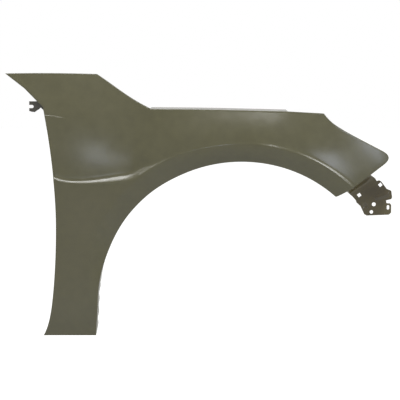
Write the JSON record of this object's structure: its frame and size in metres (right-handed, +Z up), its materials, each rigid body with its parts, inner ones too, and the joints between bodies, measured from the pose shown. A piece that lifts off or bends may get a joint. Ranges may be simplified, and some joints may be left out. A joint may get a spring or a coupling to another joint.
{
  "type": "car fender",
  "caption": "Right-hand front fender of a saloon car in primed sheet steel, with a flared wheel arch, a wing beside the windscreen pillar, a bolt flange along the hood and a bracket for the bumper.",
  "frame": {"origin": "middle of the underside of the bolt flange along the hood, where the fender lies on its rail", "axes": "+X to the front of the car, +Y to the middle of the car, +Z up; the painted face looks to -Y"},
  "size_m": [0.9838, 0.1299, 0.6586],
  "materials": {
    "panel_primer": "satin electrocoat primer, grey olive",
    "bracket_primer": "satin electrocoat primer, dark olive",
    "fork_primer": "satin electrocoat primer, almost black"
  },
  "bodies": {
    "root": {"fender_panel": "panel_primer", "front_bracket": "bracket_primer", "pillar_fork": "fork_primer"}
  },
  "joints": []
}
